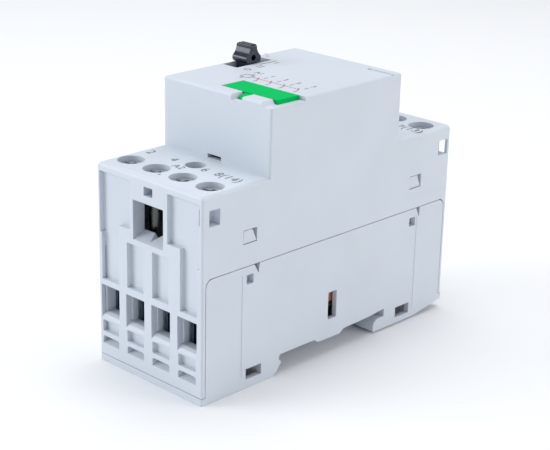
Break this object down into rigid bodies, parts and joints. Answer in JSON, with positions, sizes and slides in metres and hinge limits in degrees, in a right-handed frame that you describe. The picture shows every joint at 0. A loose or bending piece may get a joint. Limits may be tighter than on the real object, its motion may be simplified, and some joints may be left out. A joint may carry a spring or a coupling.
{
  "type": "din rail contactor",
  "caption": "Narrow DIN rail contactor with screw clamp terminals at both ends, front lever, coil magnet, sprung contact bridges and a rail clip.",
  "frame": {"origin": "middle of the footprint, on the plane that the feet stand on", "axes": "+Z from the rail side up to the lever face, X the module width, Y the length; the near terminals are at -Y"},
  "size_m": [0.0356, 0.0864, 0.0715],
  "materials": {
    "housing_plastic": "fine moulded light grey polyamide",
    "partition_plastic": "plain moulded grey plastic",
    "rubber": "black rubber",
    "core_steel": "laminated silicon steel, ground pole faces",
    "pin_steel": "bright steel",
    "copper": "bare copper",
    "bobbin_plastic": "dark glass-filled plastic",
    "enamelled_wire": "enamelled copper wire",
    "insulating_tape": "brown insulating tape",
    "lead_insulation": "red lead insulation",
    "silver": "silver alloy contact tips",
    "spring_steel": "spring wire and strip",
    "carrier_plastic": "dark red moulded thermoset",
    "lever_plastic": "smooth black moulded plastic",
    "label_plastic": "green moulded plastic",
    "clip_plastic": "grey moulded plastic",
    "bridge_brass": "copper alloy bridge with silver tips",
    "bar_brass": "stamped brass strip",
    "clamp_steel": "bluish zinc plated steel",
    "screw_steel": "zinc plated steel"
  },
  "bodies": {
    "housing": {"base": "housing_plastic", "cover": "housing_plastic", "partition_plate": "partition_plastic", "core_damper": "rubber", "fixed_core": "core_steel", "core_rivets": "pin_steel", "shading_rings": "copper", "coil_bobbin": "bobbin_plastic", "coil_winding": "enamelled_wire", "coil_tape": "insulating_tape", "coil_leads": "lead_insulation", "fixed_contact_tips": "silver", "return_springs": "spring_steel", "lever_detent_spring": "spring_steel", "rail_clip_spring": "spring_steel", "near_contact_bar_1": "bar_brass", "near_contact_bar_2": "bar_brass", "near_contact_bar_3": "bar_brass", "near_contact_bar_4": "bar_brass", "far_contact_bar_1": "bar_brass", "far_contact_bar_2": "bar_brass", "far_contact_bar_3": "bar_brass", "far_contact_bar_4": "bar_brass", "near_coil_terminal": "bar_brass", "far_coil_terminal": "bar_brass"},
    "carrier": {"contact_carrier": "carrier_plastic", "armature": "core_steel", "armature_pin": "pin_steel", "contact_spring_1": "spring_steel", "contact_spring_2": "spring_steel", "contact_spring_3": "spring_steel", "contact_spring_4": "spring_steel"},
    "bridge_1": {"contact_bridge_1": "bridge_brass"},
    "bridge_2": {"contact_bridge_2": "bridge_brass"},
    "bridge_3": {"contact_bridge_3": "bridge_brass"},
    "bridge_4": {"contact_bridge_4": "bridge_brass"},
    "lever": {"manual_lever": "lever_plastic"},
    "label": {"label_plate": "label_plastic"},
    "clip": {"rail_clip": "clip_plastic"},
    "near_screw_1": {"near_terminal_screw_1": "screw_steel"},
    "near_clamp_1": {"near_terminal_clamp_1": "clamp_steel"},
    "near_screw_2": {"near_terminal_screw_2": "screw_steel"},
    "near_clamp_2": {"near_terminal_clamp_2": "clamp_steel"},
    "near_screw_3": {"near_terminal_screw_3": "screw_steel"},
    "near_clamp_3": {"near_terminal_clamp_3": "clamp_steel"},
    "near_screw_4": {"near_terminal_screw_4": "screw_steel"},
    "near_clamp_4": {"near_terminal_clamp_4": "clamp_steel"},
    "near_screw_coil": {"near_coil_screw": "screw_steel"},
    "near_clamp_coil": {"near_coil_clamp": "clamp_steel"},
    "far_screw_1": {"far_terminal_screw_1": "screw_steel"},
    "far_clamp_1": {"far_terminal_clamp_1": "clamp_steel"},
    "far_screw_2": {"far_terminal_screw_2": "screw_steel"},
    "far_clamp_2": {"far_terminal_clamp_2": "clamp_steel"},
    "far_screw_3": {"far_terminal_screw_3": "screw_steel"},
    "far_clamp_3": {"far_terminal_clamp_3": "clamp_steel"},
    "far_screw_4": {"far_terminal_screw_4": "screw_steel"},
    "far_clamp_4": {"far_terminal_clamp_4": "clamp_steel"},
    "far_screw_coil": {"far_coil_screw": "screw_steel"},
    "far_clamp_coil": {"far_coil_clamp": "clamp_steel"}
  },
  "joints": [
    {"name": "carrier_drop", "type": "slide", "parent": "housing", "child": "carrier", "axis": [0, 0, -1], "range_m": [0, 0.0024], "stiffness_N_per_m": 900, "springref_m": -0.003, "deforming": ["return_springs"]},
    {"name": "bridge_1_overtravel", "type": "slide", "parent": "carrier", "child": "bridge_1", "axis": [0, 0, 1], "range_m": [0, 0.000481], "deforming": ["contact_spring_1"]},
    {"name": "bridge_2_overtravel", "type": "slide", "parent": "carrier", "child": "bridge_2", "axis": [0, 0, 1], "range_m": [0, 0.000481], "deforming": ["contact_spring_2"]},
    {"name": "bridge_3_overtravel", "type": "slide", "parent": "carrier", "child": "bridge_3", "axis": [0, 0, 1], "range_m": [0, 0.000481], "deforming": ["contact_spring_3"]},
    {"name": "bridge_4_overtravel", "type": "slide", "parent": "carrier", "child": "bridge_4", "axis": [0, 0, 1], "range_m": [0, 0.000481], "deforming": ["contact_spring_4"]},
    {"name": "lever_slide", "type": "slide", "parent": "housing", "child": "lever", "axis": [0, 1, 0], "range_m": [-0.003, 0.003], "deforming": ["lever_detent_spring"]},
    {"name": "label_lift", "type": "slide", "parent": "housing", "child": "label", "axis": [0, 0, 1], "range_m": [0, 0.006]},
    {"name": "clip_release", "type": "slide", "parent": "housing", "child": "clip", "axis": [0, -1, 0], "range_m": [0, 0.0022], "stiffness_N_per_m": 1500, "springref_m": -0.0015, "deforming": ["rail_clip_spring"]},
    {"name": "near_clamp_1_rise", "type": "slide", "parent": "housing", "child": "near_clamp_1", "axis": [0, 0, 1], "range_m": [0, 0.006]},
    {"name": "near_screw_1_turn", "type": "hinge", "parent": "housing", "child": "near_screw_1", "pos_m": [-0.01328, -0.0367, 0.0485], "axis": [0, 0, -1], "range_deg": [0, 3085.8]},
    {"name": "near_clamp_2_rise", "type": "slide", "parent": "housing", "child": "near_clamp_2", "axis": [0, 0, 1], "range_m": [0, 0.006]},
    {"name": "near_screw_2_turn", "type": "hinge", "parent": "housing", "child": "near_screw_2", "pos_m": [-0.00443, -0.0367, 0.0485], "axis": [0, 0, -1], "range_deg": [0, 3085.8]},
    {"name": "near_clamp_3_rise", "type": "slide", "parent": "housing", "child": "near_clamp_3", "axis": [0, 0, 1], "range_m": [0, 0.006]},
    {"name": "near_screw_3_turn", "type": "hinge", "parent": "housing", "child": "near_screw_3", "pos_m": [0.00443, -0.0367, 0.0485], "axis": [0, 0, -1], "range_deg": [0, 3085.8]},
    {"name": "near_clamp_4_rise", "type": "slide", "parent": "housing", "child": "near_clamp_4", "axis": [0, 0, 1], "range_m": [0, 0.006]},
    {"name": "near_screw_4_turn", "type": "hinge", "parent": "housing", "child": "near_screw_4", "pos_m": [0.01328, -0.0367, 0.0485], "axis": [0, 0, -1], "range_deg": [0, 3085.8]},
    {"name": "near_clamp_coil_rise", "type": "slide", "parent": "housing", "child": "near_clamp_coil", "axis": [0, 0, 1], "range_m": [0, 0.003]},
    {"name": "near_screw_coil_turn", "type": "hinge", "parent": "housing", "child": "near_screw_coil", "pos_m": [-0.0003, -0.0284, 0.0485], "axis": [0, 0, -1], "range_deg": [0, 2160.1]},
    {"name": "far_clamp_1_rise", "type": "slide", "parent": "housing", "child": "far_clamp_1", "axis": [0, 0, 1], "range_m": [0, 0.006]},
    {"name": "far_screw_1_turn", "type": "hinge", "parent": "housing", "child": "far_screw_1", "pos_m": [-0.01328, 0.0367, 0.0485], "axis": [0, 0, -1], "range_deg": [0, 3085.8]},
    {"name": "far_clamp_2_rise", "type": "slide", "parent": "housing", "child": "far_clamp_2", "axis": [0, 0, 1], "range_m": [0, 0.006]},
    {"name": "far_screw_2_turn", "type": "hinge", "parent": "housing", "child": "far_screw_2", "pos_m": [-0.00443, 0.0367, 0.0485], "axis": [0, 0, -1], "range_deg": [0, 3085.8]},
    {"name": "far_clamp_3_rise", "type": "slide", "parent": "housing", "child": "far_clamp_3", "axis": [0, 0, 1], "range_m": [0, 0.006]},
    {"name": "far_screw_3_turn", "type": "hinge", "parent": "housing", "child": "far_screw_3", "pos_m": [0.00443, 0.0367, 0.0485], "axis": [0, 0, -1], "range_deg": [0, 3085.8]},
    {"name": "far_clamp_4_rise", "type": "slide", "parent": "housing", "child": "far_clamp_4", "axis": [0, 0, 1], "range_m": [0, 0.006]},
    {"name": "far_screw_4_turn", "type": "hinge", "parent": "housing", "child": "far_screw_4", "pos_m": [0.01328, 0.0367, 0.0485], "axis": [0, 0, -1], "range_deg": [0, 3085.8]},
    {"name": "far_clamp_coil_rise", "type": "slide", "parent": "housing", "child": "far_clamp_coil", "axis": [0, 0, 1], "range_m": [0, 0.003]},
    {"name": "far_screw_coil_turn", "type": "hinge", "parent": "housing", "child": "far_screw_coil", "pos_m": [-0.0003, 0.0284, 0.0485], "axis": [0, 0, -1], "range_deg": [0, 2160.1]}
  ],
  "couplings": [
    {"joint": "bridge_1_overtravel", "follows": "carrier_drop", "ratio": 0.2},
    {"joint": "bridge_2_overtravel", "follows": "carrier_drop", "ratio": 0.2},
    {"joint": "bridge_3_overtravel", "follows": "carrier_drop", "ratio": 0.2},
    {"joint": "bridge_4_overtravel", "follows": "carrier_drop", "ratio": 0.2},
    {"joint": "near_screw_1_turn", "follows": "near_clamp_1_rise", "rad_per_m": 8976},
    {"joint": "near_screw_2_turn", "follows": "near_clamp_2_rise", "rad_per_m": 8976},
    {"joint": "near_screw_3_turn", "follows": "near_clamp_3_rise", "rad_per_m": 8976},
    {"joint": "near_screw_4_turn", "follows": "near_clamp_4_rise", "rad_per_m": 8976},
    {"joint": "near_screw_coil_turn", "follows": "near_clamp_coil_rise", "rad_per_m": 12566},
    {"joint": "far_screw_1_turn", "follows": "far_clamp_1_rise", "rad_per_m": 8976},
    {"joint": "far_screw_2_turn", "follows": "far_clamp_2_rise", "rad_per_m": 8976},
    {"joint": "far_screw_3_turn", "follows": "far_clamp_3_rise", "rad_per_m": 8976},
    {"joint": "far_screw_4_turn", "follows": "far_clamp_4_rise", "rad_per_m": 8976},
    {"joint": "far_screw_coil_turn", "follows": "far_clamp_coil_rise", "rad_per_m": 12566}
  ]
}
